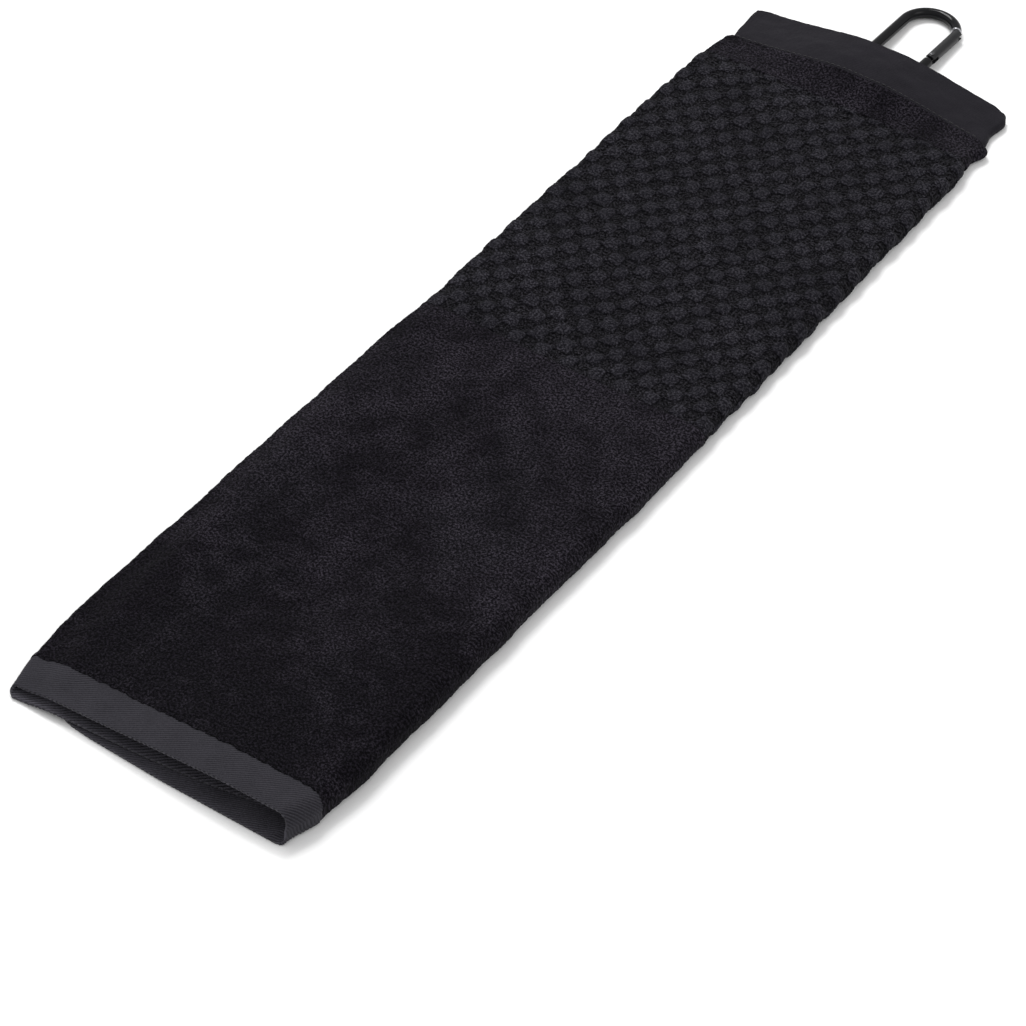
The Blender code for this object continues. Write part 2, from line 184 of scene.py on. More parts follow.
def edge(column, y):
    """A smooth curve through one column of EDGES."""
    place = y - BOTTOM
    value = np.full(np.shape(place), EDGES[0][column], float)
    for near, far in zip(EDGES, EDGES[1:]):
        step = far[column] - near[column]
        value = value + step * smooth((place - near[0]) / (far[0] - near[0]))
    return value


def left_edge(y):
    return edge(1, y) + 0.0003 * noise(y, 0 * y, 0.011, 1)


def right_edge(y):
    return edge(2, y) + 0.0004 * noise(y, 0 * y, 0.013, 2)


def outer_end(y):
    share = (y - BOTTOM) / (TOP - BOTTOM)
    return left_edge(y) + mix(OUTER_SHORT_AT_BOTTOM, OUTER_SHORT_AT_TOP, share)


def inner_end(y):
    return right_edge(y) - INNER_SHORT


def pressed(y):
    """1 in the open towel, falling to 0 where the band is sewn."""
    return smooth((BAND_BOTTOM - y) / PRESSED_LENGTH)


def terry_thickness(y):
    return mix(PRESSED_TERRY, TERRY, pressed(y))


def terry_gap(y):
    return mix(PRESSED_GAP, LAYER_GAP, pressed(y))


def thickness(y, twill):
    return TWILL + 0 * y if twill else terry_thickness(y)


def sewn(y, twill):
    """Whether a stretch of cloth is the top band, whose layers lie flat on one another."""
    return twill and np.min(y) >= BAND_BOTTOM - 0.001


def arch(x, y):
    slope = np.clip((ARCH_HALF_WIDTH - abs(x - CARABINER_X)) / ARCH_SIDE, 0, 1)
    across = mix(slope, smooth(slope), 0.5)
    along = smooth((y - TOP + ARCH_START) / (ARCH_START - ARCH_FULL))
    return ARCH_ROOM * across * along


def ripple(x, y):
    """The towel's soft unevenness, the same in every layer, and none where it is sewn."""
    wave = 0.00045 * noise(x, y, 0.045, 3) + 0.00025 * noise(x, y, 0.021, 4)
    return wave * pressed(y)


def outer_height(x, y, twill):
    """The layer on the floor."""
    return thickness(y, twill) / 2 + 0 * x


def inner_height(x, y, twill):
    """The middle layer lies on the outer flap, and steps down past the flap's free edge."""
    if sewn(y, twill):
        return TWILL * 1.5 + TWILL_GAP + arch(x, y)
    thick, gap = terry_thickness(y), terry_gap(y)
    past_hem = smooth((y - BOTTOM - 0.004) / 0.026)
    step = mix(TWILL + TWILL_GAP, thick + gap, past_hem)
    lift = step * smooth((x - outer_end(y) + STEP_WIDTH + STEP_CLEAR) / STEP_WIDTH)
    return mix(HEM_MIDDLE, gap + thick / 2, past_hem) + lift + arch(x, y) + ripple(x, y)


def centre_height(x, y, twill):
    """The top layer climbs to the open fold at its right: straight at the mouth, and curved further up."""
    if sewn(y, twill):
        return inner_height(x, y, True) + TWILL + TWILL_GAP
    thick = terry_thickness(y)
    flat = inner_height(x, y, twill) + thick + terry_gap(y)
    fold = mix(RIGHT_FOLD_TALL, RIGHT_FOLD_LOW, smooth((y - BOTTOM) / RIGHT_FOLD_SETTLES))
    extra = np.maximum(fold - thick / 2 - flat, 0) * pressed(y)
    settled = smooth((y - BOTTOM - 0.010) / MOUTH_LENGTH)
    start = mix(MOUTH_CLIMB[0], CLIMB_START, settled)
    end = mix(MOUTH_CLIMB[1], right_edge(y) - CLIMB_SHORT, settled)
    straight = np.clip((x - start) / (end - start), 0, 1)
    return flat + extra * mix(straight, smooth(straight), mix(0.4, 1, settled))


def fold_curve(turn, low_sharp, high_sharp):
    """A half loop: how far out and how far up, from -1 to 1. A higher power makes a squarer corner."""
    power = np.where(turn < 0, low_sharp, high_sharp)
    out = np.abs(np.cos(turn)) ** (2 / power)
    up = np.sign(np.sin(turn)) * np.abs(np.sin(turn)) ** (2 / power)
    return out, up


def left_fold(y, twill):
    """Where the left fold starts to turn, the height of its lower layer there, and the fold's radius."""
    turn = left_edge(y) + LEFT_FOLD_DEPTH
    low = inner_height(turn, y, twill)
    return turn, low, (centre_height(turn, y, twill) - low) / 2


def right_fold(y, twill):
    """The same for the right fold, which reaches the right edge whatever its height."""
    low = outer_height(right_edge(y), y, twill)
    high = centre_height(right_edge(y) - 0.008, y, twill)
    turn = right_edge(y) - thickness(y, twill) / 2 - (high - low) / 2
    return turn, low, (centre_height(turn, y, twill) - low) / 2


def wrap(u, y, twill):
    """The folded cloth's middle line at y, and how far round the towel each point is.

    u counts the layers: 0 to 1 is the outer flap from its free edge, 1 to 2 the right fold, 2 to 3 the
    centre panel from right to left, 3 to 4 the left fold, and 4 to 5 the inner flap.
    """
    u, y = np.broadcast_arrays(u, y)
    turn_left, left_low, left_radius = left_fold(y, twill)
    turn_right, right_low, right_radius = right_fold(y, twill)
    creased = mix(7.0, 3.4, smooth((y - BOTTOM) / 0.060))
    right_out, right_up = fold_curve(math.pi * (np.clip(u, 1, 2) - 1.5), creased, 2.0)
    left_out, left_up = fold_curve(math.pi * (3.5 - np.clip(u, 3, 4)), 2.6, 2.2)
    layer = [u < 1, u < 2, u < 3, u < 4]

    outer_x = mix(outer_end(y), turn_right, np.clip(u, 0, 1))
    right_x = turn_right + right_radius * right_out
    centre_x = mix(turn_right, turn_left, np.clip(u - 2, 0, 1))
    left_x = turn_left - left_radius * left_out
    inner_x = mix(turn_left, inner_end(y), np.clip(u - 4, 0, 1))
    x = np.select(layer, [outer_x, right_x, centre_x, left_x], inner_x)

    outer_z = outer_height(x, y, twill)
    right_z = right_low + right_radius * (1 + right_up)
    centre_z = centre_height(x, y, twill)
    left_z = left_low + left_radius * (1 + left_up)
    z = np.select(layer, [outer_z, right_z, centre_z, left_z], inner_height(x, y, twill))

    round_right = math.pi * right_radius
    round_left = math.pi * left_radius
    outer_flat = turn_right + round_right + turn_right - outer_x
    right_flat = turn_right + round_right * (2 - np.clip(u, 1, 2))
    left_flat = turn_left - round_left * (np.clip(u, 3, 4) - 3)
    inner_flat = turn_left - round_left - (inner_x - turn_left)
    flat = np.select(layer, [outer_flat, right_flat, centre_x, left_flat], inner_flat)
    return x, z, flat


def set_back(u):
    places, distances = zip(*SET_BACK)
    return np.interp(u, places, distances)


# ---------------------------------------------------------------- piles and weaves
# Each gives a skin's height over the cloth's middle, how raised it is, and whether it is plain velour.
# flat is how far round the towel a point is, as wrap() gives it.


def nap(flat, y, seed):
    """Tufts about a millimetre apart, leaning together in patches."""
    fine = noise(flat, y, 0.0010, seed) + 0.8 * noise(flat, y, 0.0021, seed + 1)
    return 0.00016 * fine + 0.00014 * noise(flat, y, 0.0062, seed + 2)


def check_edge(flat, y):
    """The distance into a raised check, or less than 0 by the distance into a sunk one."""
    across = flat + 0.0009 * noise(flat, y, 0.0085, 11) + 0.00065 * noise(flat, y, 0.0027, 13)
    along = y + 0.0008 * noise(flat, y, 0.0095, 12) + 0.00065 * noise(flat, y, 0.0025, 14)
    a, b = across / CHECK_ACROSS, (along - CHECK_START) / CHECK_ALONG
    part_a, part_b = a - np.floor(a), b - np.floor(b)
    to_side = np.minimum(part_a, 1 - part_a) * CHECK_ACROSS
    to_end = np.minimum(part_b, 1 - part_b) * CHECK_ALONG
    inside = np.minimum(to_side, to_end) - 0.0008 * smooth(1 - np.hypot(to_side, to_end) / 0.0024)
    raised = (np.floor(a) + np.floor(b)) % 2 == 0
    return np.where(raised, inside, -inside)


def face_pile(flat, y, thick):
    """The towel's face: velour, and above it raised velour checks in sunk loops."""
    depth = check_edge(flat, y)
    depth = np.minimum(depth, np.minimum(y - CHECK_START + 0.0006, CHECK_END - y + 0.0006))
    raised = smooth((depth + 0.0009) / 0.0015)
    dome = 0.00030 * smooth(depth / 0.0030)
    loops = 0.00024 * noise(flat, y, 0.0010, 21) + 0.00020 * noise(flat, y, 0.0021, 22)
    cut = CHECK_RISE - 0.0001 + dome + 0.7 * nap(flat, y, 31)
    check = PILE - CHECK_RISE - 0.0002 + mix(loops, cut, raised)
    velour = PILE - 0.00035 + nap(flat, y, 41)
    plain = smooth((CHECK_START - y) / 0.0008) + smooth((y - CHECK_END) / 0.0008)
    height = mix(check, velour, plain)
    return thick / 2 - PILE + height, mix(raised, 0.0, plain), plain


def back_pile(flat, y, thick):
    """The towel's back is plain loop terry, its loops in rows across."""
    rows = 0.00012 * np.cos(2 * math.pi * (y / 0.0016 + 0.18 * noise(flat, y, 0.004, 51)))
    loops = 0.00016 * noise(flat, y, 0.0011, 52)
    return thick / 2 - 0.0003 + rows + loops, 0 * flat, 0 * flat


def ridges(flat, y, thick, slant, pitch, size):
    """Woven ridges at a slant, in degrees, with a little unevenness along them."""
    slant = math.radians(slant)
    sway = 0.0003 * noise(flat, y, 0.006, 62)
    along = y * math.cos(slant) - flat * math.sin(slant) + sway
    ridge = np.cos(2 * math.pi * along / pitch)
    uneven = noise(flat, y, 0.0011, 61)
    height = thick / 2 - 0.00014 + size * ridge + 0.00005 * uneven
    return height, 0.5 + 0.5 * ridge, 0 * flat


def hem_face(flat, y, thick):
    return ridges(flat, y, thick, 30, 0.00105, 0.00016)


def hem_back(flat, y, thick):
    return ridges(flat, y, thick, -30, 0.00120, 0.00020)


def band_weave(flat, y, thick):
    """Close ribs across the band, and the slight waves of pressed cloth."""
    height, raised, plain = ridges(flat, y, thick, 7, 0.0009, 0.00005)
    wave = 0.00018 * noise(flat * 0.6, y, 0.0035, 63)
    return height + wave, raised, plain


# ---------------------------------------------------------------- meshes


def grid_faces(index, flip):
    """Quads over a grid of point numbers."""
    quads = np.stack([index[:-1, :-1], index[:-1, 1:], index[1:, 1:], index[1:, :-1]], -1)
    quads = quads.reshape(-1, 4)
    return quads[:, ::-1] if flip else quads


def rim(index):
    """The point numbers round a grid's border, once round."""
    return np.concatenate([index[0, :-1], index[:-1, -1], index[-1, :0:-1], index[:0:-1, 0]])


def rim_faces(face_index, back_index, step):
    """Faces round the rim. Each joins one edge of the back's grid to as many of the face's as step says."""
    face_rim, back_rim = rim(face_index), rim(back_index)
    place = np.arange(len(back_rim))
    corners = [face_rim[(place * step + k) % len(face_rim)] for k in range(step + 1)]
    corners += [back_rim[(place + 1) % len(back_rim)], back_rim[place]]
    return np.stack(corners, -1)


def closed_faces(face_shape, back_shape, step):
    """The faces of a closed sheet, whose points are its face's grid row by row and then its back's."""
    count = math.prod(face_shape)
    face_index = np.arange(count).reshape(face_shape)
    back_index = count + np.arange(math.prod(back_shape)).reshape(back_shape)
    return [
        grid_faces(face_index, True),
        grid_faces(back_index, False),
        rim_faces(face_index, back_index, step),
    ]


def mesh_from(name, points, faces):
    """A mesh from points and a list of arrays of faces, each array with its own number of corners."""
    mesh = bpy.data.meshes.new(name)
    corners = np.concatenate([part.ravel() for part in faces])
    sizes = np.concatenate([np.full(len(part), part.shape[1]) for part in faces])
    mesh.vertices.add(len(points))
    mesh.vertices.foreach_set("co", points.astype(np.float32).ravel())
    mesh.loops.add(len(corners))
    mesh.loops.foreach_set("vertex_index", corners.astype(np.int32))
    mesh.polygons.add(len(sizes))
    mesh.polygons.foreach_set("loop_start", (np.cumsum(sizes) - sizes).astype(np.int32))
    mesh.update(calc_edges=True)
    mesh.shade_smooth()
    return mesh


def attribute(mesh, name, values):
    """Gives each point of a mesh a number or a vector, which its finish reads."""
    kind, field = ("FLOAT_VECTOR", "vector") if values.ndim == 2 else ("FLOAT", "value")
    made = mesh.attributes.new(name, kind, "POINT")
    made.data.foreach_set(field, values.astype(np.float32).ravel())


def linked(name, mesh):
    """A new object in the scene."""
    made = bpy.data.objects.new(name, mesh)
    bpy.context.scene.collection.objects.link(made)
    return made


# ---------------------------------------------------------------- cloth pieces


def skin(u, y, side, pile, twill):
    """One side of the cloth as a grid of points: side is 1 for the face and -1 for the back."""
    x, z, flat = wrap(u, y, twill)
    step = 1e-4
    ahead_x, ahead_z, _ = wrap(np.minimum(u + step, 5), y, twill)
    behind_x, behind_z, _ = wrap(np.maximum(u - step, 0), y, twill)
    run, climb = ahead_x - behind_x, ahead_z - behind_z
    size = np.hypot(run, climb)
    height, raised, plain = pile(flat, y, thickness(y, twill))
    out_x, out_z = climb / size, -run / size
    points = np.stack([x + side * height * out_x, y, z + side * height * out_z], -1)
    return points, np.stack([flat, y, 0 * y], -1), raised, plain


def cloth(name, us, rows, face, back, twill, back_step):
    """A closed piece of cloth, whose back has every back_step-th point of its face's grid each way."""
    u = np.broadcast_to(us, rows.shape)
    sides = []
    for side, pile, step in ((1, face, 1), (-1, back, back_step)):
        sides.append(skin(u[::step, ::step], rows[::step, ::step], side, pile, twill))
    face_shape, back_shape = (grids[0].shape[:2] for grids in sides)
    points, flat, raised, plain = (
        np.concatenate([grid.reshape(-1, *grid.shape[2:]) for grid in pair]) for pair in zip(*sides)
    )
    mesh = mesh_from(name, points, closed_faces(face_shape, back_shape, back_step))
    mesh.set_sharp_from_angle(angle=math.radians(65))
    attribute(mesh, "flat", flat)
    attribute(mesh, "raised", raised)
    attribute(mesh, "plain", plain)
    attribute(mesh, "back", np.repeat([0.0, 1.0], [math.prod(face_shape), math.prod(back_shape)]))
    return linked(name, mesh)


def whole(count, step=4):
    """The nearest number of points that a grid of this step fits."""
    return step * max(1, round((count - 1) / step)) + 1


def columns_over(first, last, widths, spacing):
    """Values of u from first to last, with as many steps in each layer as its width needs."""
    values = [np.array([float(first)])]
    for layer in range(first, last):
        count = whole(widths[layer] / spacing + 1)
        values.append(layer + np.linspace(0, 1, count)[1:])
    return np.concatenate(values)


def rows_over(us, low, high, spacing, length):
    """The y of every point of a grid. low and high say where its two ends are at each u."""
    count = whole(length / spacing + 1)
    share = np.linspace(0, 1, count)[:, None]
    return mix(low(us)[None, :], high(us)[None, :], share)


def bottom_of_hem(u):
    return BOTTOM + set_back(u)


def top_of_hem(u):
    """The pile starts along an uneven line."""
    return BOTTOM + set_back(u) + HEM + 0.0005 * noise(0.12 * u, 0 * u, 0.0019, 71)


def check_line(u):
    return CHECK_START + 0 * u


def band_line(u):
    return BAND_BOTTOM + 0 * u


def top_line(u):
    """The band's edge stands out a little towards both corners, which are rounded off."""
    across = np.interp(u, range(6), (-1, 1, 1, -1, -1, 1))
    rounded = 0.0018 * np.clip((abs(across) - 0.90) / 0.10, 0, 1) ** 2
    return TOP + 0.0010 + 0.0016 * across**2 - rounded


# About how wide each layer is, from u = 0 to 5: a grid's columns are counted from it
LAYER_WIDTHS = (0.108, 0.021, 0.128, 0.010, 0.112)
BAND_WIDTHS = (0.125, 0.008, 0.128, 0.006, 0.112)

# Each layer's name, its first and last u, and whether it turns back with the free corner
LAYERS = (
    ("outer_flap", 0, 1, False),
    ("right_fold", 1, 2, False),
    ("centre_panel", 2, 3, True),
    ("inner_flap", 3, 5, True),
)
TERRY_NODES = {
    "outer_flap": ["outer_flap"],
    "right_fold": ["right_fold"],
    "centre_panel": ["centre_panel_upper", "centre_panel_corner"],
    "inner_flap": ["left_fold_upper", "left_fold_corner", "inner_flap_upper", "inner_flap_corner"],
}
HEM_NODES = {
    "outer_flap": ["outer_flap_hem"],
    "right_fold": ["right_fold_hem"],
    "centre_panel": ["centre_hem_right", "centre_hem_corner"],
    "inner_flap": ["left_fold_hem_corner", "inner_flap_hem_right", "inner_flap_hem_corner"],
}

# The steps of each layer's terry grid, across and along: fine where the pile shows
TERRY_STEPS = {
    "outer_flap": (0.0011, 0.0012),
    "right_fold": (0.00048, 0.00048),
    "centre_panel": (0.00046, 0.00048),
    "inner_flap": (0.0009, 0.0009),
}
HEM_STEP = 0.00034


def hold(piece, moves):
    """A layer over the crease keeps its points in the CAD model's frame on no body, and the others stay on
    the root.
    """
    if moves:
        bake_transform(piece)
    else:
        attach(piece, "root")


def flat_width(first, last, y, twill):
    """How wide a piece's cloth is when it is opened flat, from its first layer to its last."""
    ends = wrap(np.array([float(first), float(last)]), np.array([y, y]), twill)[2]
    return float(abs(ends[1] - ends[0]))


def declare(nodes):
    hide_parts(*nodes)


def build_terry(finish):
    """Each layer's velour, up to the first check, and its check, up to the band."""
    parts = (
        ("velour", top_of_hem, check_line, HEM_EDGE, CHECK_START),
        ("check", check_line, band_line, CHECK_START, BAND_BOTTOM),
    )
    for name, first, last, moves in LAYERS:
        across, along = TERRY_STEPS[name]
        us = columns_over(first, last, LAYER_WIDTHS, across)
        back_step = 1 if name == "outer_flap" else 4
        for part, low, high, start, end in parts:
            rows = rows_over(us, low, high, along, end - start)
            piece = cloth(f"{name}_{part}", us, rows, face_pile, back_pile, False, back_step)
            piece.data.materials.append(finish)
            hold(piece, moves)
            width = flat_width(first, last, (start + end) / 2, False)
            declare(TERRY_NODES[name])


def build_bottom_hem(finish):
    for name, first, last, moves in LAYERS:
        us = columns_over(first, last, LAYER_WIDTHS, HEM_STEP)
        rows = rows_over(us, bottom_of_hem, top_of_hem, HEM_STEP, HEM)
        piece = cloth(f"{name}_bottom_hem", us, rows, hem_face, hem_back, True, 1)
        piece.data.materials.append(finish)
        hold(piece, moves)
        width = flat_width(first, last, BOTTOM + HEM / 2, True)
        declare(HEM_NODES[name])


def build_top_band(finish):
    """The sewn band is made in three: its bottom layer, its top layer with both folds, and its middle."""
    length = TOP - BAND_BOTTOM
    parts = (
        ("top_band_bottom", 0, 1, 0.0006, ["top_band_outer"]),
        ("top_band_face", 1, 4, 0.00036, ["top_band_centre", "top_band_left_fold", "top_band_right_fold"]),
        ("top_band_middle", 4, 5, 0.0006, ["top_band_inner"]),
    )
    for name, first, last, spacing, nodes in parts:
        us = columns_over(first, last, BAND_WIDTHS, spacing)
        rows = rows_over(us, band_line, top_line, spacing, length)
        piece = cloth(name, us, rows, band_weave, band_weave, True, 4)
        piece.data.materials.append(finish)
        hold(piece, False)
        width = flat_width(first, last, (TOP + BAND_BOTTOM) / 2, True)
        declare(nodes)


# ---------------------------------------------------------------- rods and threads


def rod_from(rings):
    """A closed bmesh rod through rings of points."""
    shape = bmesh.new()
    rings = [[shape.verts.new(place) for place in ring] for ring in rings]
    sides = len(rings[0])
    for near, far in zip(rings, rings[1:]):
        for k in range(sides):
            shape.faces.new((near[k], near[(k + 1) % sides], far[(k + 1) % sides], far[k]))
    shape.faces.new(rings[0])
    shape.faces.new(rings[-1])
    bmesh.ops.recalc_face_normals(shape, faces=shape.faces)
    return shape


def tube(path, radii, sides, side_axis):
    """A rod along a flat path, with its own radius at each point. side_axis is square to the path."""
    turns = [2 * math.pi * k / sides for k in range(sides)]
    rings = []
    for i, point in enumerate(path):
        ahead = path[min(i + 1, len(path) - 1)] - path[max(i - 1, 0)]
        out = ahead.normalized().cross(side_axis).normalized()
        rings.append([point + radii[i] * (math.cos(t) * out + math.sin(t) * side_axis) for t in turns])
    return rod_from(rings)


def add(shape, mesh, transform=None):
    """Adds a bmesh to a mesh, and frees it."""
    if transform is not None:
        bmesh.ops.transform(shape, matrix=transform, verts=shape.verts)
    joined = bmesh.new()
    joined.from_mesh(mesh)
    part = bpy.data.meshes.new("part")
    shape.to_mesh(part)
    shape.free()
    joined.from_mesh(part)
    joined.to_mesh(mesh)
    joined.free()
    bpy.data.meshes.remove(part)


def finished(name, mesh, finish, body, nodes, sharp=35):
    """A piece of hard goods or thread, which rides on one body."""
    mesh.materials.append(finish)
    mesh.shade_smooth()
    mesh.set_sharp_from_angle(angle=math.radians(sharp))
    made = linked(name, mesh)
    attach(made, body)
    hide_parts(*nodes)


def band_top(x, y):
    place = np.array([x]), np.array([y])
    return float(centre_height(*place, True)[0]) + TWILL / 2


def build_stitches(finish):
    """A row of stitches through the band, each a short thread that dips into the cloth at both ends."""
    pitch, gap, radius, steps = 0.0030, 0.0007, 0.00022, 8
    y = BAND_BOTTOM + 0.0022
    start, end = left_edge(y) + 0.004, right_edge(y) - 0.004
    mesh = bpy.data.meshes.new("seam_stitches")
    for i in range(int((end - start) / pitch)):
        low = start + i * pitch + gap / 2
        path, radii = [], []
        for share in [k / steps for k in range(steps + 1)]:
            x = low + (pitch - gap) * share
            rise = 0.00014 * math.sin(math.pi * share) - 0.00018
            path.append(Vector((x, y, band_top(x, y) + rise)))
            radii.append(radius * (0.45 + 0.55 * math.sin(math.pi * share)))
        add(tube(path, radii, 8, Vector((0, 1, 0))), mesh)
    finished("seam_stitches", mesh, finish, "root", ["top_seam_thread"])


# ---------------------------------------------------------------- webbing

TAPE = 0.0008
TAPE_COLUMNS = 37


def tape_route(tail_y, tail_z, centre, radius):
    """The y and z of the tape's middle line: along one tail, round the carabiner, and back."""
    strands = []
    for side in (-1, 1):
        strand = []
        for share in [k / 12 for k in range(13)]:
            ease = float(smooth(share * 1.6 - 0.3))
            z = mix(tail_z + side * 0.00055, centre.z + side * radius, ease)
            strand.append((mix(tail_y, centre.y, share), z))
        strands.append(strand)
    turns = [math.pi * (k / 16 - 0.5) for k in range(1, 16)]
    bow = [(centre.y + radius * math.cos(t), centre.z + radius * math.sin(t)) for t in turns]
    return strands[0] + bow + strands[1][::-1]


def build_webbing(finish):
    """A doubled tape round the carabiner's lower end, with its tails between the band's layers."""
    low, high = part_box("hanging_loop")
    width = high.x - low.x
    radius = (high.z - SWING[2]) - TAPE / 2
    centre = Vector((CARABINER_X, high.y - radius - TAPE / 2, SWING[2]))
    tail_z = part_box("loop_bar_tack")[0].z - TAPE - 0.00025
    route = tape_route(low.y, tail_z, centre, radius)
    across = np.linspace(-width / 2, width / 2, TAPE_COLUMNS)
    grid = np.zeros((len(route), TAPE_COLUMNS, 3))
    normal = np.zeros_like(grid)
    flat = np.zeros_like(grid)
    length = 0.0
    for i, (y, z) in enumerate(route):
        before, after = route[max(i - 1, 0)], route[min(i + 1, len(route) - 1)]
        along = Vector((0, after[0] - before[0], after[1] - before[1])).normalized()
        length += math.dist(route[i], before)
        grid[i] = np.stack([CARABINER_X + across, np.full_like(across, y), np.full_like(across, z)], -1)
        normal[i] = (0, along.z, -along.y)
        flat[i] = np.stack([across, np.full_like(across, length), 0 * across], -1)
    thinned = 1 - smooth((np.abs(across) - width / 2 + 0.0006) / 0.0006) * 0.5
    ribs = 0.00006 * np.cos(2 * math.pi * across / 0.0010)
    height = (TAPE / 2 * thinned + ribs)[None, :, None]
    sides = [(grid + way * normal * height).reshape(-1, 3) for way in (1, -1)]
    shape = grid.shape[:2]
    mesh = mesh_from("webbing_loop", np.concatenate(sides), closed_faces(shape, shape, 1))
    attribute(mesh, "flat", np.concatenate([flat.reshape(-1, 3)] * 2))
    finished("webbing_loop", mesh, finish, "root", ["hanging_loop"], 60)


def build_bar_tack(finish):
    """Close stitches side by side through the webbing's tails."""
    low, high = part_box("loop_bar_tack")
    stitches, steps = 12, 6
    mesh = bpy.data.meshes.new("bar_tack")
    for i in range(stitches):
        x = mix(low.x, high.x, (i + 0.5) / stitches)
        path = [Vector((x, mix(low.y, high.y, k / steps), low.z)) for k in range(steps + 1)]
        radii = [0.00017 * (0.5 + 0.5 * math.sin(math.pi * k / steps)) for k in range(steps + 1)]
        add(tube(path, radii, 6, Vector((1, 0, 0))), mesh)
    finished("bar_tack", mesh, finish, "root", ["loop_bar_tack"])


# ---------------------------------------------------------------- carabiner
# In the carabiner's own frame the origin is where the webbing holds it, +Y runs to its far end, and +Z is
# square to its plane. TO_WORLD takes that frame to the CAD model's.

TILT_AXIS = JOINTS["gate_open"]["axis"]
TILT = math.atan2(TILT_AXIS[1], TILT_AXIS[2])
TO_WORLD = Matrix.Translation(Vector(SWING)) @ Matrix.Rotation(-TILT, 4, "X")
HINGE = TO_WORLD.inverted() @ Vector(JOINTS["gate_open"]["pos_m"])
WIRE = 0.0050
GATE_WIDTH = 0.0052
BEND = HINGE.x
ARCH_CENTRE = HINGE.y + 0.0185
NOSE = ARCH_CENTRE + 0.0054
GATE_TOP = NOSE - 0.0006
GATE_LOW = HINGE.y - 0.0017
STUB_END = HINGE.y - 0.0030
TONGUE = 0.0016
FORK = 0.0022
RIVET_HOLE = 0.00085
LATCH_HOLE = 0.00075
LATCH_PIN = 0.0006
LATCH_X = BEND - 0.0012
LATCH_Y = NOSE - 0.0021
CUTTER = 0.004


def arc(centre_y, start, end, steps):
    turns = [math.radians(mix(start, end, k / (steps - 1))) for k in range(steps)]
    return [Vector((BEND * math.cos(t), centre_y + BEND * math.sin(t), 0)) for t in turns]


def plate(x, y, thick, radius):
    """A block on the carabiner's plane, over a range of x and of y, with its edges rounded off."""
    low, high = Vector((x[0], y[0], -thick / 2)), Vector((x[1], y[1], thick / 2))
    place = Matrix.Translation((low + high) / 2) @ Matrix.Diagonal((*(high - low), 1))
    shape = bmesh.new()
    bmesh.ops.create_cube(shape, size=1)
    bmesh.ops.transform(shape, matrix=place, verts=shape.verts)
    bmesh.ops.bevel(shape, geom=shape.edges[:], offset=radius, segments=3, affect="EDGES", profile=0.5)
    return shape


def round_pin(x, y, half_length, radius, sides=40):
    """A pin square to the carabiner's plane, with its ends chamfered."""
    chamfer = min(radius * 0.3, 0.0002)
    heights = (-half_length, -half_length + chamfer, half_length - chamfer, half_length)
    radii = (radius - chamfer, radius, radius, radius - chamfer)
    return tube([Vector((x, y, z)) for z in heights], radii, sides, Vector((1, 0, 0)))


def rod_with_ends(points, radius, sides):
    """A round rod whose two ends are rounded over."""
    first = (points[0] - points[1]).normalized()
    last = (points[-1] - points[-2]).normalized()
    round_over = radius * 0.22
    steps = [math.pi / 2 * k / 4 for k in range(5)]
    start = [points[0] - first * round_over * (1 - math.sin(t)) for t in steps[::-1]]
    end = [points[-1] - last * round_over * (1 - math.sin(t)) for t in steps]
    ring = [radius - round_over * (1 - math.cos(t)) for t in steps]
    path = start + points[1:-1] + end
    radii = ring[::-1] + [radius] * (len(points) - 2) + ring
    return tube(path, radii, sides, Vector((0, 0, 1)))


def solid(name, shape):
    """A temporary object that a Boolean can use."""
    mesh = bpy.data.meshes.new(name)
    shape.to_mesh(mesh)
    shape.free()
    return linked(name, mesh)


def carved(name, shape, added, cut):
    """The shape with others added and cut away, as one mesh in the CAD model's frame."""
    target = solid(name + "_work", shape)
    helpers = []
    for operation, others in (("UNION", added), ("DIFFERENCE", cut)):
        for other in others:
            helper = solid(name + "_helper", other)
            helpers.append(helper)
            step = target.modifiers.new(operation.title(), "BOOLEAN")
            step.operation = operation
            step.object = helper
            step.solver = "EXACT"
    bevel = target.modifiers.new("Edges", "BEVEL")
    bevel.width = 0.00010
    bevel.segments = 2
    bevel.limit_method = "ANGLE"
    bevel.angle_limit = math.radians(50)
    bpy.context.view_layer.update()
    graph = bpy.context.evaluated_depsgraph_get()
    mesh = bpy.data.meshes.new_from_object(target.evaluated_get(graph))
    mesh.name = name
    mesh.transform(TO_WORLD)
    for helper in [target, *helpers]:
        old = helper.data
        bpy.data.objects.remove(helper)
        bpy.data.meshes.remove(old)
    return mesh


def worn_at(mesh, end, inwards):
    """How bare each point of the rod is: the edge round its nose is worn, and the rest is black."""
    to_own = TO_WORLD.inverted()
    worn = []
    for point in mesh.vertices:
        place = to_own @ point.co - end
        depth = place.dot(inwards)
        off_axis = (place - depth * inwards).length
        on_edge = depth > -0.0002 and 0.70 * WIRE / 2 < off_axis < 1.1 * WIRE / 2
        worn.append(float(smooth((0.0007 - depth) / 0.0003)) if on_edge else 0.0)
    return np.array(worn)


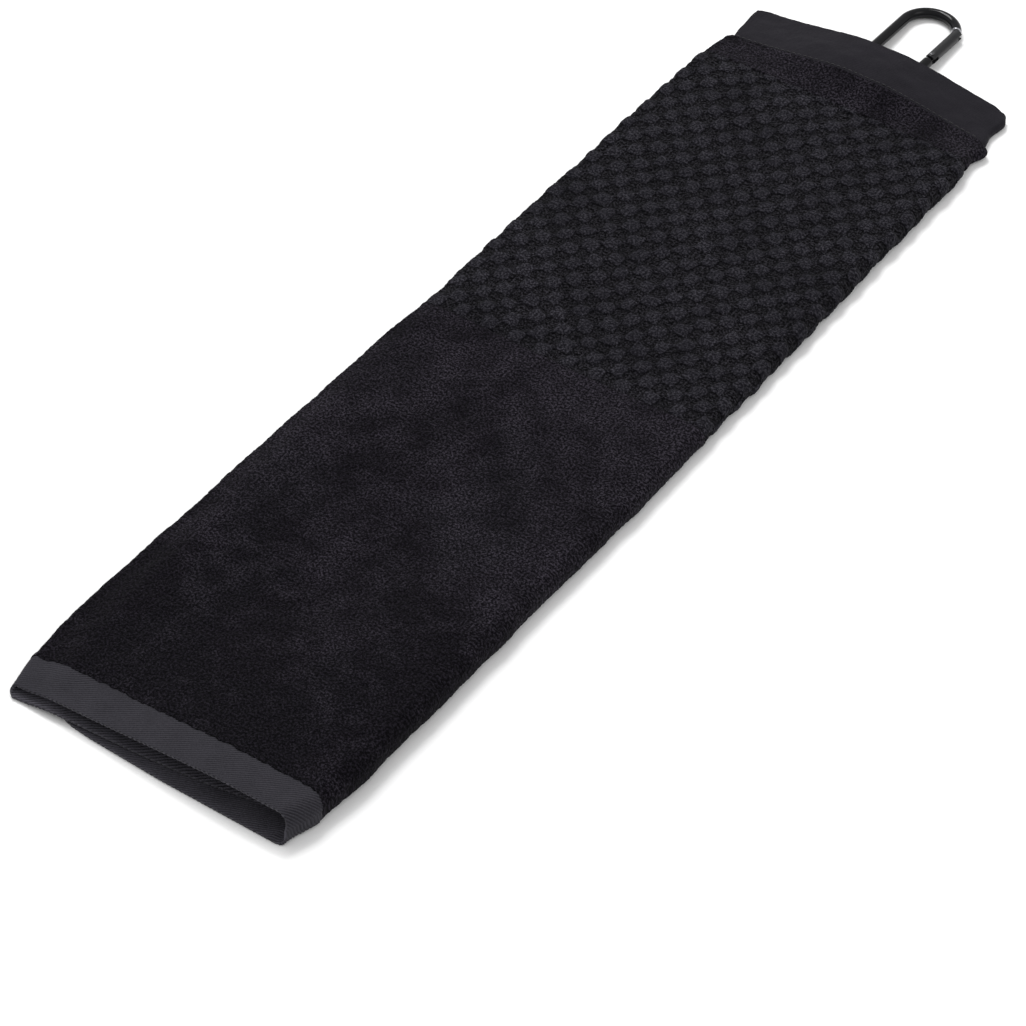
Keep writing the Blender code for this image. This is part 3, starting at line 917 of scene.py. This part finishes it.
def build_carabiner_body(finish):
    """The bent rod, with the gate's hinge tongue on one end and its hook on the other."""
    nose_angle = math.degrees(math.asin((NOSE - ARCH_CENTRE) / BEND))
    left_leg = [Vector((-BEND, mix(ARCH_CENTRE, BEND, k / 12), 0)) for k in range(1, 12)]
    right_leg = [Vector((BEND, mix(BEND, STUB_END, k / 4), 0)) for k in range(1, 5)]
    path = arc(ARCH_CENTRE, nose_angle, 180, 60) + left_leg + arc(BEND, 180, 360, 56) + right_leg
    body = rod_with_ends(path, WIRE / 2, 48)
    rounding = 0.00012
    hook = NOSE - 0.0038
    tongue = plate((BEND - TONGUE, BEND + TONGUE), (STUB_END - 0.001, HINGE.y), TONGUE, rounding)
    eye = round_pin(BEND, HINGE.y, TONGUE / 2, TONGUE)
    stem = plate((BEND - 0.0003, BEND + 0.0009), (hook, NOSE + 0.001), TONGUE, rounding)
    lip = plate((BEND - 0.0020, BEND + 0.0002), (hook, hook + 0.0008), TONGUE, rounding)
    hole = round_pin(BEND, HINGE.y, CUTTER, RIVET_HOLE)
    mesh = carved("carabiner_rod", body, [tongue, eye, stem, lip], [hole])
    attribute(mesh, "bare", worn_at(mesh, path[0], (path[1] - path[0]).normalized()))
    finished("carabiner_rod", mesh, finish, "carabiner", ["carabiner_body"])


def build_gate(finish):
    """The gate's sleeve: forked at both ends, bored for its spring, and drilled for its pins."""
    ends = [Vector((BEND, GATE_LOW, 0)), Vector((BEND, GATE_TOP, 0))]
    sleeve = rod_with_ends([ends[0].lerp(ends[1], k / 6) for k in range(7)], GATE_WIDTH / 2, 48)
    sides = (BEND - 0.005, BEND + 0.005)
    slot_end = HINGE.y + TONGUE + 0.0005
    low_fork = plate(sides, (GATE_LOW - CUTTER, slot_end), FORK, 0.0003)
    high_fork = plate(sides, (NOSE - 0.0043, GATE_TOP + CUTTER), FORK, 0.0003)
    bore_ends = [Vector((BEND, slot_end - 0.001, 0)), Vector((BEND, HINGE.y + 0.0155, 0))]
    bore = tube(bore_ends, [0.00135, 0.00135], 32, Vector((0, 0, 1)))
    rivet_hole = round_pin(BEND, HINGE.y, CUTTER, RIVET_HOLE)
    latch_hole = round_pin(LATCH_X, LATCH_Y, CUTTER, LATCH_HOLE)
    mesh = carved("gate_sleeve", sleeve, [], [low_fork, high_fork, bore, rivet_hole, latch_hole])
    finished("gate_sleeve", mesh, finish, "gate", ["carabiner_gate"])


def build_pins(steel):
    """The hinge rivet with domed heads, and the latch pin that catches the nose's hook."""
    reach = GATE_WIDTH / 2
    head = ((0.00045, 0.0004), (0.0003, 0.0009), (0.0001, 0.00105), (0.0, 0.0007))
    profile = [(-reach - out, radius) for out, radius in head]
    profile += [(reach + out, radius) for out, radius in head[::-1]]
    path = [Vector((BEND, HINGE.y, z)) for z, radius in profile]
    rivet = bpy.data.meshes.new("hinge_rivet")
    add(tube(path, [radius for z, radius in profile], 32, Vector((1, 0, 0))), rivet, TO_WORLD)
    finished("hinge_rivet", rivet, steel, "carabiner", ["gate_rivet"])
    pin = bpy.data.meshes.new("latch_pin")
    add(round_pin(LATCH_X, LATCH_Y, 0.0021, LATCH_PIN, 32), pin, TO_WORLD)
    finished("latch_pin", pin, steel, "gate", ["gate_latch_pin"])


def build_spring(steel):
    """The coil in the gate's bore and the plunger that it pushes against the hinge's eye."""
    tip = HINGE.y + TONGUE + 0.0004
    shoulder = tip + 0.0030
    path = [Vector((BEND, y, 0)) for y in (tip, tip + 0.0002, shoulder - 0.0001, shoulder)]
    plunger = bpy.data.meshes.new("spring_plunger")
    add(tube(path, (0.0007, 0.0011, 0.0011, 0.001), 32, Vector((0, 0, 1))), plunger, TO_WORLD)
    finished("spring_plunger", plunger, steel, "gate", ["gate_plunger"])
    coils, per_coil, sides, wire = 9, 24, 8, 0.00016
    reach, start, end = 0.0011 - wire, shoulder + 0.0004, HINGE.y + 0.0151
    turns = [2 * math.pi * k / sides for k in range(sides)]
    rings = []
    for i in range(coils * per_coil + 1):
        turn = 2 * math.pi * i / per_coil
        out = Vector((math.cos(turn), 0, math.sin(turn)))
        centre = Vector((BEND, mix(start, end, i / (coils * per_coil)), 0)) + reach * out
        rings.append([centre + wire * (math.cos(t) * out + Vector((0, math.sin(t), 0))) for t in turns])
    spring = bpy.data.meshes.new("return_spring")
    add(rod_from(rings), spring, TO_WORLD)
    finished("return_spring", spring, steel, "gate", ["gate_spring"])


# ---------------------------------------------------------------- finishes


class Finish:
    """A material and a short way to add nodes to it."""

    def __init__(self, name, **sockets):
        self.material = bpy.data.materials.new(name)
        self.material.use_nodes = True
        self.tree = self.material.node_tree
        self.shader = self.tree.nodes["Principled BSDF"]
        for socket, value in sockets.items():
            self.shader.inputs[socket.replace("_", " ")].default_value = value

    def node(self, kind, links=(), **settings):
        """A new node. A setting is one of its own, or else the value of one of its sockets."""
        made = self.tree.nodes.new(kind)
        for key, value in settings.items():
            if hasattr(made, key):
                setattr(made, key, value)
            else:
                made.inputs[key.replace("_", " ")].default_value = value
        for socket, source in links:
            self.tree.links.new(source, made.inputs[socket])
        return made

    def attribute(self, name, output="Fac"):
        return self.node("ShaderNodeAttribute", attribute_name=name).outputs[output]

    def noise(self, place, scale, detail, roughness):
        made = self.node("ShaderNodeTexNoise", [("Vector", place)], Scale=scale, Detail=detail)
        made.inputs["Roughness"].default_value = roughness
        return made.outputs["Fac"]

    def ranged(self, value, low, high, to_low, to_high):
        made = self.node("ShaderNodeMapRange", [("Value", value)])
        numbers = {"From Min": low, "From Max": high, "To Min": to_low, "To Max": to_high}
        for socket, number in numbers.items():
            made.inputs[socket].default_value = number
        return made.outputs["Result"]

    def math(self, operation, a, b):
        made = self.node("ShaderNodeMath", operation=operation)
        for socket, value in zip(made.inputs, (a, b)):
            if isinstance(value, (int, float)):
                socket.default_value = value
            else:
                self.tree.links.new(value, socket)
        return made.outputs[0]

    def mixed(self, share, low, high):
        """A colour between two, each a socket or three numbers."""
        made = self.node("ShaderNodeMix", data_type="RGBA")
        for socket, value in ((made.inputs[0], share), (made.inputs[6], low), (made.inputs[7], high)):
            if isinstance(value, tuple):
                socket.default_value = (*value, 1)
            else:
                self.tree.links.new(value, socket)
        return made.outputs[2]

    def bump(self, height, distance, strength):
        made = self.node("ShaderNodeBump", [("Height", height)], Distance=distance, Strength=strength)
        return made.outputs["Normal"]

    def set(self, socket, source):
        self.tree.links.new(source, self.shader.inputs[socket])


def terry_finish():
    """Black cotton pile with a violet cast. Velour lies in light and dark clouds, with painted shade that
    makes it darkest near the hem. Painted shade also rings the checks' raised cells.
    """
    made = Finish("terry_finish", Roughness=1.0, Sheen_Weight=0.03, Sheen_Roughness=0.5)
    made.shader.inputs["Specular IOR Level"].default_value = 0.04
    flat = made.attribute("flat", "Vector")
    raised, plain, back = made.attribute("raised"), made.attribute("plain"), made.attribute("back")
    patches = made.ranged(made.noise(flat, 70, 4, 0.65), 0.38, 0.62, 0.0, 0.6)
    clouds = made.ranged(made.noise(flat, 19, 3, 0.6), 0.37, 0.63, 0.0, 0.6)
    along = made.node("ShaderNodeSeparateXYZ", [("Vector", flat)]).outputs["Y"]
    # Painted shade: the velour darkens towards the bottom hem, and this is added to the patches and clouds
    # of random tone.
    painted_hem_shade = made.ranged(along, BOTTOM + 0.06, BOTTOM + 0.17, -0.45, 0.06)
    lie = made.math("ADD", made.math("ADD", patches, clouds), painted_hem_shade)
    mottle_and_hem_shade = made.ranged(lie, 0.15, 1.05, 0.0, 1.0)
    tufts = made.ranged(made.noise(flat, 1000, 3, 0.65), 0.46, 0.62, 0.0, 1.0)
    grain = made.ranged(made.noise(flat, 2300, 1, 0.5), 0.34, 0.66, 0.0, 1.0)
    speckle = made.math("MULTIPLY", tufts, made.math("ADD", made.math("MULTIPLY", grain, 0.6), 0.4))
    dark_patch = made.mixed(speckle, (0.0011, 0.0009, 0.0016), (0.0150, 0.0128, 0.0184))
    light_patch = made.mixed(speckle, (0.0024, 0.0020, 0.0034), (0.0480, 0.0422, 0.0550))
    velour = made.mixed(mottle_and_hem_shade, dark_patch, light_patch)
    uneven = made.math("MULTIPLY", speckle, made.ranged(mottle_and_hem_shade, 0.0, 1.0, 0.66, 1.20))
    loops = made.mixed(uneven, (0.0004, 0.0004, 0.0008), (0.0300, 0.0285, 0.0345))
    cut = made.mixed(uneven, (0.0050, 0.0047, 0.0068), (0.0450, 0.0432, 0.0520))
    # Painted shade: a dark ring where each raised check falls to the sunk loops round it.
    to_painted_rim_shade = made.math("ABSOLUTE", made.math("SUBTRACT", raised, 0.38), 0)
    painted_rim_shade = made.ranged(to_painted_rim_shade, 0.0, 0.38, 0.95, 0.0)
    check = made.mixed(painted_rim_shade, made.mixed(raised, loops, cut), (0.0010, 0.0010, 0.0016))
    face = made.mixed(plain, check, velour)
    behind = made.mixed(speckle, (0.0040, 0.0038, 0.0052), (0.0360, 0.0345, 0.0400))
    made.set("Base Color", made.mixed(back, face, behind))
    made.set("Normal", made.bump(made.noise(flat, 1300, 2, 0.6), 0.0005, 0.8))
    return made.material


def twill_finish(name, low, high, sheen):
    """Flat-woven cotton: fine yarns across the ridges that are in the mesh, with painted shade in the
    grooves between them. Its back has more contrast, painted lighter at its high colour and with deeper
    painted shade in its grooves.
    """
    made = Finish(name, Roughness=0.9, Sheen_Weight=sheen, Sheen_Roughness=0.4)
    made.shader.inputs["Specular IOR Level"].default_value = 0.12
    flat = made.attribute("flat", "Vector")
    ridge = made.attribute("raised")
    yarn = made.noise(flat, 1500, 2, 0.6)
    patch = made.ranged(made.noise(flat, 90, 3, 0.6), 0.3, 0.7, 0.0, 1.0)
    yarns = made.math("MULTIPLY", made.ranged(yarn, 0.3, 0.7, 0.0, 1.0), 0.34)
    # Painted shade: the colour is darker in the grooves between the ridges and lighter on their tops,
    # besides the yarns' and patches' random tone.
    shade = made.math("ADD", made.math("MULTIPLY", ridge, 0.50), yarns)
    shade = made.math("ADD", shade, made.math("MULTIPLY", patch, 0.16))
    back = made.attribute("back")
    # Painted light and shade: the back, which shows in the shaded gaps under the layers above, is twice as
    # light at its high colour, and its low colour is darker, for deeper painted shade in its grooves.
    painted_shade_low_behind = tuple(0.25 * part for part in low)
    painted_light_high_behind = tuple(2.0 * part for part in high)
    darker, lighter = made.mixed(back, low, painted_shade_low_behind), made.mixed(back, high, painted_light_high_behind)
    made.set("Base Color", made.mixed(shade, darker, lighter))
    made.set("Normal", made.bump(yarn, 0.0002, 0.6))
    return made.material


def webbing_finish():
    made = Finish("webbing_finish", Roughness=0.7, Sheen_Weight=0.1)
    flat = made.attribute("flat", "Vector")
    yarn = made.noise(flat, 2600, 2, 0.6)
    ribs = made.node("ShaderNodeTexWave", [("Vector", flat)], Scale=320, Distortion=0.4, bands_direction="Y")
    shade = made.math("MULTIPLY", made.math("ADD", ribs.outputs["Fac"], yarn), 0.5)
    made.set("Base Color", made.mixed(shade, (0.006, 0.006, 0.007), (0.028, 0.028, 0.031)))
    made.set("Normal", made.bump(shade, 0.0003, 0.7))
    return made.material


def thread_finish():
    made = Finish("thread_finish", Roughness=0.75, Sheen_Weight=0.1)
    place = made.node("ShaderNodeTexCoord").outputs["Object"]
    twist = made.noise(place, 3500, 2, 0.6)
    made.set("Base Color", made.mixed(twist, (0.003, 0.003, 0.004), (0.010, 0.009, 0.012)))
    made.set("Normal", made.bump(twist, 0.0001, 0.6))
    return made.material


def anodised_finish(name, smoothest, roughest, shade, gloss):
    """Black anodising with faint rubbing marks, worn to bare metal where the mesh says so."""
    made = Finish(name)
    made.shader.inputs["Specular IOR Level"].default_value = gloss
    place = made.node("ShaderNodeTexCoord").outputs["Object"]
    rubbed = made.noise(place, 420, 4, 0.6)
    bare = made.attribute("bare")
    black = made.mixed(rubbed, (0.5 * shade, 0.5 * shade, 0.6 * shade), (shade, shade, 1.1 * shade))
    polish = made.ranged(rubbed, 0.3, 0.7, smoothest, roughest)
    made.set("Roughness", made.math("MAXIMUM", polish, made.math("MULTIPLY", bare, 0.3)))
    made.set("Base Color", made.mixed(bare, black, (0.42, 0.42, 0.44)))
    made.set("Metallic", bare)
    made.set("Normal", made.bump(made.noise(place, 1600, 2, 0.5), 0.00003, 0.35))
    return made.material


def steel_finish():
    made = Finish("steel_finish", Metallic=1.0)
    place = made.node("ShaderNodeTexCoord").outputs["Object"]
    worn = made.noise(place, 900, 3, 0.6)
    made.set("Roughness", made.ranged(worn, 0.3, 0.7, 0.25, 0.5))
    made.set("Base Color", made.mixed(worn, (0.035, 0.035, 0.038), (0.11, 0.11, 0.115)))
    made.set("Normal", made.bump(worn, 0.00004, 0.3))
    return made.material


# ---------------------------------------------------------------- floor, light and camera


def build_floor():
    """A plain pale floor, just under the towel."""
    size = 6.0
    corners = [(-size, -size, 0), (size, -size, 0), (size, size, 0), (-size, size, 0)]
    mesh = bpy.data.meshes.new("floor")
    mesh.from_pydata(corners, [], [(0, 1, 2, 3)])
    floor = linked("floor", mesh)
    floor.location.z = -0.0001
    paper = Finish("floor_finish", Base_Color=(0.92, 0.92, 0.92, 1), Roughness=0.9)
    paper.shader.inputs["Specular IOR Level"].default_value = 0.1
    mesh.materials.append(paper.material)


def area_light(name, place, target, size, power):
    light = bpy.data.lights.new(name, "AREA")
    light.shape = "RECTANGLE"
    light.size, light.size_y = size
    light.energy = power
    lamp = linked(name, light)
    lamp.location = place
    lamp.rotation_mode = "QUATERNION"
    lamp.rotation_quaternion = (Vector(target) - Vector(place)).to_track_quat("-Z", "Y")


def build_light():
    """A bright room, a soft key from the upper left, and two small lights that glint on the carabiner."""
    world = bpy.data.worlds.new("studio")
    world.use_nodes = True
    background = world.node_tree.nodes["Background"]
    background.inputs["Color"].default_value = (1, 1, 1, 1)
    background.inputs["Strength"].default_value = 0.69
    bpy.context.scene.world = world
    area_light("key", (-1.1, 0.9, 1.9), (0, 0, 0), (1.1, 0.8), 38)
    area_light("fill", (1.6, 0.3, 1.7), (0, 0, 0), (1.2, 1.2), 8)
    area_light("glint", (-0.70, 0.95, 1.74), (0, 0.25, 0), (0.18, 0.08), 3)
    area_light("second_glint", (-0.38, 1.00, 1.81), (0, 0.25, 0), (0.14, 0.07), 1.2)


def build_camera():
    """Looks down along the towel from its open end, at the angle and distance of a product photograph."""
    data = bpy.data.cameras.new("camera")
    data.sensor_width = 36
    data.lens = 156.9
    data.clip_end = 50
    camera = linked("camera", data)
    target = Vector((0.032, BOTTOM + 0.200, 0))
    azimuth, elevation, distance = math.radians(35.3), math.radians(44.4), 1.838
    level, up = math.cos(elevation), math.sin(elevation)
    back = Vector((math.sin(azimuth) * level, -math.cos(azimuth) * level, up))
    camera.location = target + back * distance
    camera.rotation_mode = "QUATERNION"
    camera.rotation_quaternion = (-back).to_track_quat("-Z", "Y")
    bpy.context.scene.camera = camera


build_camera()
build_light()
build_floor()
HEM_FINISH = twill_finish("hem_finish", (0.0085, 0.0080, 0.0105), (0.0470, 0.0450, 0.0545), 0.12)
BAND_FINISH = twill_finish("band_finish", (0.0030, 0.0027, 0.0040), (0.0185, 0.0168, 0.0222), 0.06)
THREAD_FINISH = thread_finish()
STEEL_FINISH = steel_finish()
build_terry(terry_finish())
build_bottom_hem(HEM_FINISH)
build_top_band(BAND_FINISH)
build_stitches(THREAD_FINISH)
build_webbing(webbing_finish())
build_bar_tack(THREAD_FINISH)
build_carabiner_body(anodised_finish("rod_finish", 0.06, 0.15, 0.0085, 0.14))
build_gate(anodised_finish("gate_finish", 0.28, 0.42, 0.0130, 0.30))
build_pins(STEEL_FINISH)
build_spring(STEEL_FINISH)
bpy.context.scene.view_settings.view_transform = "Standard"
bpy.context.view_layer.update()
